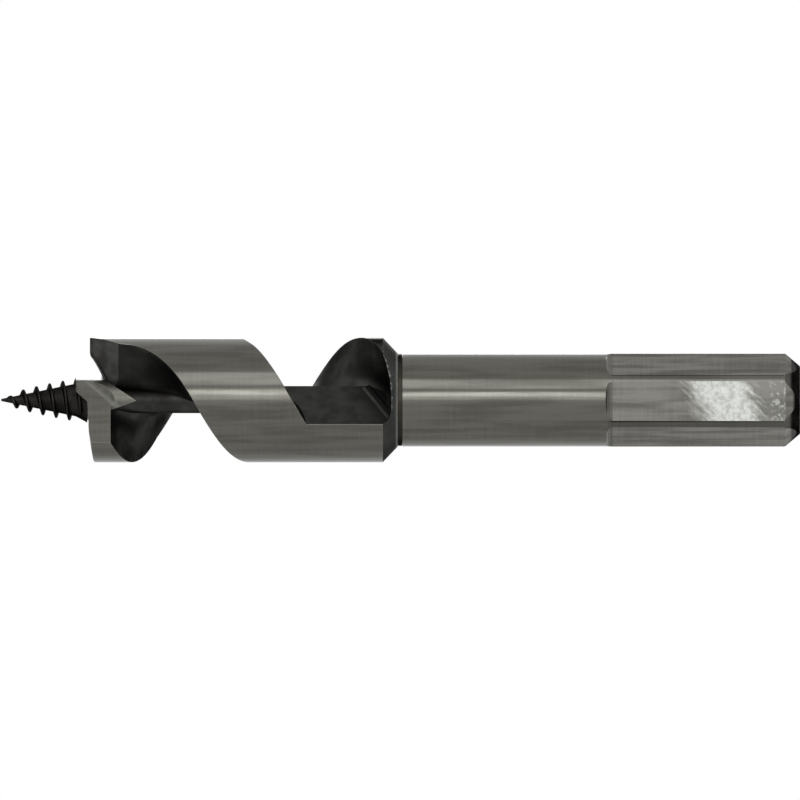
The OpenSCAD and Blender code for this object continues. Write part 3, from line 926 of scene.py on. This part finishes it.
class AUGERBIT_OT_weld_seam(bpy.types.Operator):
    """Models the dressed weld seam between the collar and the shank"""

    bl_idname = "auger_bit.weld_seam"
    bl_label = "Weld seam"

    def execute(self, context):
        z, at, colours = plan(context)
        inner = z.nose / 2
        outline = [(at.back + share * z.weld - z.overall, at.shank_r - dip * z.weld_dip)
                   for share, dip in WELD_SECTION]
        outline += [(at.shank - z.overall, inner), (at.back - z.overall, inner)]
        seam = wind("weld_seam_piece", outline, 360, SEAM_SIDES)
        for vertex in seam.data.vertices:
            out = math.hypot(vertex.co.y, vertex.co.z)
            if out > at.shank_r - RIPPLE_FROM * z.weld_dip:
                a = math.atan2(vertex.co.z, vertex.co.y)
                ripple = sum(math.sin(waves * a + phase) for waves, phase in RIPPLES)
                share = 1 - RIPPLE_DEEP * (1 + ripple / len(RIPPLES)) / out
                vertex.co.y *= share
                vertex.co.z *= share
        paint(seam, dressed_weld(colours))
        hand_over(seam, "weld_seam", smooth=40)
        return {"FINISHED"}


class AUGERBIT_OT_shank(bpy.types.Operator):
    """Models the round shank with its hexagonal, chamfered drive end"""

    bl_idname = "auger_bit.shank"
    bl_label = "Shank"

    def execute(self, context):
        z, at, colours = plan(context)
        ground = ground_shank(colours)

        round_end = z.overall - z.end_chamfer
        shank = bar(z, "shank_piece", at.shank, round_end, at.shank_r, at.shank_r, SHANK_SIDES)
        pick(shank, "FACE", "polygons", lambda face: face.normal.x > END_LOOK)
        bpy.ops.mesh.extrude_region_move(TRANSFORM_OT_translate={"value": (z.end_chamfer, 0, 0)})
        small = 1 - z.end_depth / at.shank_r
        bpy.ops.transform.resize(value=(1, small, small), center_override=(0, 0, 0))
        pick(shank, "FACE", "polygons", lambda face: face.normal.x < -END_LOOK)
        bpy.ops.mesh.inset(thickness=at.shank_r - z.nose / 2)
        bpy.ops.mesh.extrude_region_move(TRANSFORM_OT_translate={"value": (-z.weld, 0, 0)})
        bpy.ops.object.mode_set(mode="OBJECT")
        paint(shank, ground)

        cutter = self.flat_cutter(z, at)
        for k in range(FLATS):
            tool = cutter.copy()
            tool.data = cutter.data.copy()
            context.scene.collection.objects.link(tool)
            tool.data.transform(Matrix.Rotation(z.hex_roll + k * 2 * math.pi / FLATS, 4, "X"))
            combine(shank, paint(tool, ground), "DIFFERENCE")
        bpy.data.objects.remove(cutter)

        make_active(shank)
        soften = shank.modifiers.new("Soften", "BEVEL")
        soften.width = z.shank_edge
        soften.segments = EDGE_STEPS
        soften.limit_method = "ANGLE"
        soften.angle_limit = math.radians(SOFT_ANGLE)
        soften.use_clamp_overlap = False
        bpy.ops.object.modifier_apply(modifier=soften.name)
        paint(shank, ground, ground_flat(colours), flat_with_painted_highlight(colours), burnt_end(colours))
        for face in shank.data.polygons:
            face.material_index = self.finish_of(z, at, face)
        hand_over(shank, "shank", smooth=20)
        return {"FINISHED"}

    def finish_of(self, z, at, face):
        """Round shank, plain flat, flat with a painted highlight or burnt chamfer, by where a face
        lies.
        """
        middle, normal = face.center, face.normal
        out = math.hypot(middle.y, middle.z)
        cone = at.shank_r - z.end_depth * (1 + middle.x / z.end_chamfer)
        on_end = out > cone - CONE_NEAR or normal.x > END_LOOK
        if middle.x > -z.end_chamfer and on_end:
            return BURNT
        # How far off the axis the face's own plane lies; a face square to the axis has no such way
        looks = math.hypot(normal.y, normal.z)
        depth = (middle.y * normal.y + middle.z * normal.z) / max(looks, SAME_POINT)
        if middle.x < at.hexagon - z.overall or depth > at.shank_r - z.flat_depth + UNDER:
            return ROUND
        turn = (math.atan2(-normal.z, -normal.y) - z.hex_roll) * FLATS / (2 * math.pi)
        return HIGHLIT if round(turn) % 2 == 0 else FLAT

    def flat_cutter(self, z, at):
        """Tool for one flat: rounded where the flat runs out, dipped where the lead-in bevel is."""
        flat_r, clear_r = at.shank_r - z.flat_depth, at.shank_r + z.flat_runout + OVER
        start, end = at.hexagon - z.overall, OVER
        cutter = block("Flat", (start, -clear_r, -at.shank_r), (end, -flat_r, at.shank_r))

        def on_flat(p):
            return abs(p.y + flat_r) < SAME_POINT

        pick_edges(cutter, lambda p: abs(p.x - start) < SAME_POINT and on_flat(p))
        bpy.ops.mesh.bevel(offset=z.flat_runout, segments=RUNOUT_STEPS, affect="EDGES")
        bpy.ops.mesh.select_all(action="SELECT")
        bpy.ops.mesh.bisect(plane_co=(-z.lead_in, 0, 0), plane_no=(1, 0, 0), threshold=SAME_CUT)
        bpy.ops.object.mode_set(mode="OBJECT")
        for vertex in cutter.data.vertices:
            if vertex.co.x > -z.lead_in + SAME_POINT and on_flat(vertex.co):
                vertex.co.y += (vertex.co.x + z.lead_in) * math.tan(z.lead_in_slope)
        return cutter


def seen_plainly(tree):
    """1 for rays that show the white surroundings: from the camera, off metal and through glass."""
    path = add(tree, "ShaderNodeLightPath")
    shown = path.outputs["Is Camera Ray"]
    for other in ("Is Glossy Ray", "Is Transmission Ray"):
        shown = add(tree, "ShaderNodeMath", {0: shown, 1: path.outputs[other]}, operation="MAXIMUM")
    return shown


class AUGERBIT_OT_stage(bpy.types.Operator):
    """Sets the floor, the lamps, the white surroundings and the camera"""

    bl_idname = "auger_bit.stage"
    bl_label = "Stage"

    def execute(self, context):
        scene = context.scene
        z = scene.auger_bit_sizes
        middle = Vector((-z.overall / 2 - VIEW_SHIFT, 0, 0))

        make_active(None)
        bpy.ops.mesh.primitive_plane_add(
            size=FLOOR_SIZE, location=(middle.x, 0, -z.bore / 2 - FLOOR_GAP))
        floor = bpy.context.object
        floor.name = "floor"
        apply_place(floor)
        paint(floor, self.card(scene.auger_bit_colours.stage))

        for name, low, high, width, radiance in LAMPS:
            self.lamp(name, middle, low, high, width, radiance)

        world = bpy.data.worlds.new("White surroundings")
        scene.world = world
        tree = empty_tree(world)
        # The surroundings light matt surfaces at half the strength at which they are seen
        level = add(tree, "ShaderNodeMapRange",
                    {"Value": seen_plainly(tree), "To Min": 0.5, "To Max": 1.0})
        glow = add(tree, "ShaderNodeBackground", {"Color": (1, 1, 1, 1), "Strength": level})
        add(tree, "ShaderNodeOutputWorld", {"Surface": glow})

        bpy.ops.object.camera_add(
            location=middle + Vector((0, -VIEW_FAR, 0)), rotation=(math.pi / 2, 0, 0))
        camera = bpy.context.object
        camera.data.type = "ORTHO"
        camera.data.ortho_scale = VIEW_WIDE
        camera.data.clip_start = VIEW_NEAR
        scene.camera = camera
        scene.view_settings.view_transform = "Standard"
        return {"FINISHED"}

    def card(self, tone):
        """Matt white card: to the camera and the metal half plain white, half with the shadow."""
        card = bpy.data.materials.new("Matt white card")
        tree = empty_tree(card)
        grain = add(tree, "ShaderNodeTexNoise", {"Scale": 1 / (0.4 * MM), "Detail": 2.0})
        matt = add(tree, "ShaderNodeMapRange", {"Value": grain, "To Min": 0.8, "To Max": 1.0})
        coat = add(tree, "ShaderNodeBsdfPrincipled", {
            "Base Color": (*tone, 1), "Specular IOR Level": 0.1, "Roughness": matt})
        # Metal sees the card brighter than it is, as if a second one lay in front of the bit
        path = add(tree, "ShaderNodeLightPath")
        glow = add(tree, "ShaderNodeMapRange",
                   {"Value": path.outputs["Is Camera Ray"], "To Min": 1.55, "To Max": 1.0})
        white = add(tree, "ShaderNodeEmission", {"Color": (1, 1, 1, 1), "Strength": glow})
        lit = add(tree, "ShaderNodeMath", {0: seen_plainly(tree), 1: 0.5}, operation="MULTIPLY")
        both = add(tree, "ShaderNodeMixShader", {0: lit, 1: coat, 2: white})
        add(tree, "ShaderNodeOutputMaterial", {"Surface": both})
        return card

    def lamp(self, name, middle, low, high, width, radiance):
        """Rectangular lamp that looks at the bit; its power follows from how bright its face is."""
        turn = math.radians((low + high) / 2)
        offset = Vector((0, -math.cos(turn), math.sin(turn))) * LAMP_FAR
        height = 2 * LAMP_FAR * math.tan(math.radians(abs(high - low) / 2))
        bpy.ops.object.light_add(type="AREA", location=middle + offset)
        lamp = bpy.context.object
        lamp.name = name
        lamp.data.shape = "RECTANGLE"
        lamp.data.size, lamp.data.size_y = width, height
        lamp.data.energy = radiance * math.pi * width * height
        lamp.rotation_euler = (-offset).to_track_quat("-Z", "Y").to_euler()
        lamp.visible_camera = False


class AUGERBIT_PT_panel(bpy.types.Panel):
    bl_idname = "AUGERBIT_PT_panel"
    bl_label = "Auger bit"
    bl_space_type = "VIEW_3D"
    bl_region_type = "UI"
    bl_category = "Auger bit"

    def draw(self, context):
        column = self.layout.column(align=True)
        for operator in OPERATORS:
            column.operator(operator.bl_idname)
        for group in (context.scene.auger_bit_colours, context.scene.auger_bit_sizes):
            for name in group.__annotations__:
                self.layout.prop(group, name)


OPERATORS = (AUGERBIT_OT_lead_screw, AUGERBIT_OT_auger_body, AUGERBIT_OT_weld_seam,
             AUGERBIT_OT_shank, AUGERBIT_OT_stage)
CLASSES = (AugerBitSizes, AugerBitColours, *OPERATORS, AUGERBIT_PT_panel)


def register():
    for cls in CLASSES:
        bpy.utils.register_class(cls)
    bpy.types.Scene.auger_bit_sizes = PointerProperty(type=AugerBitSizes)
    bpy.types.Scene.auger_bit_colours = PointerProperty(type=AugerBitColours)


def unregister():
    del bpy.types.Scene.auger_bit_colours
    del bpy.types.Scene.auger_bit_sizes
    for cls in reversed(CLASSES):
        bpy.utils.unregister_class(cls)


def main():
    register()
    bpy.ops.auger_bit.lead_screw()
    bpy.ops.auger_bit.auger_body()
    bpy.ops.auger_bit.weld_seam()
    bpy.ops.auger_bit.shank()
    bpy.ops.auger_bit.stage()


if __name__ == "__main__":
    main()
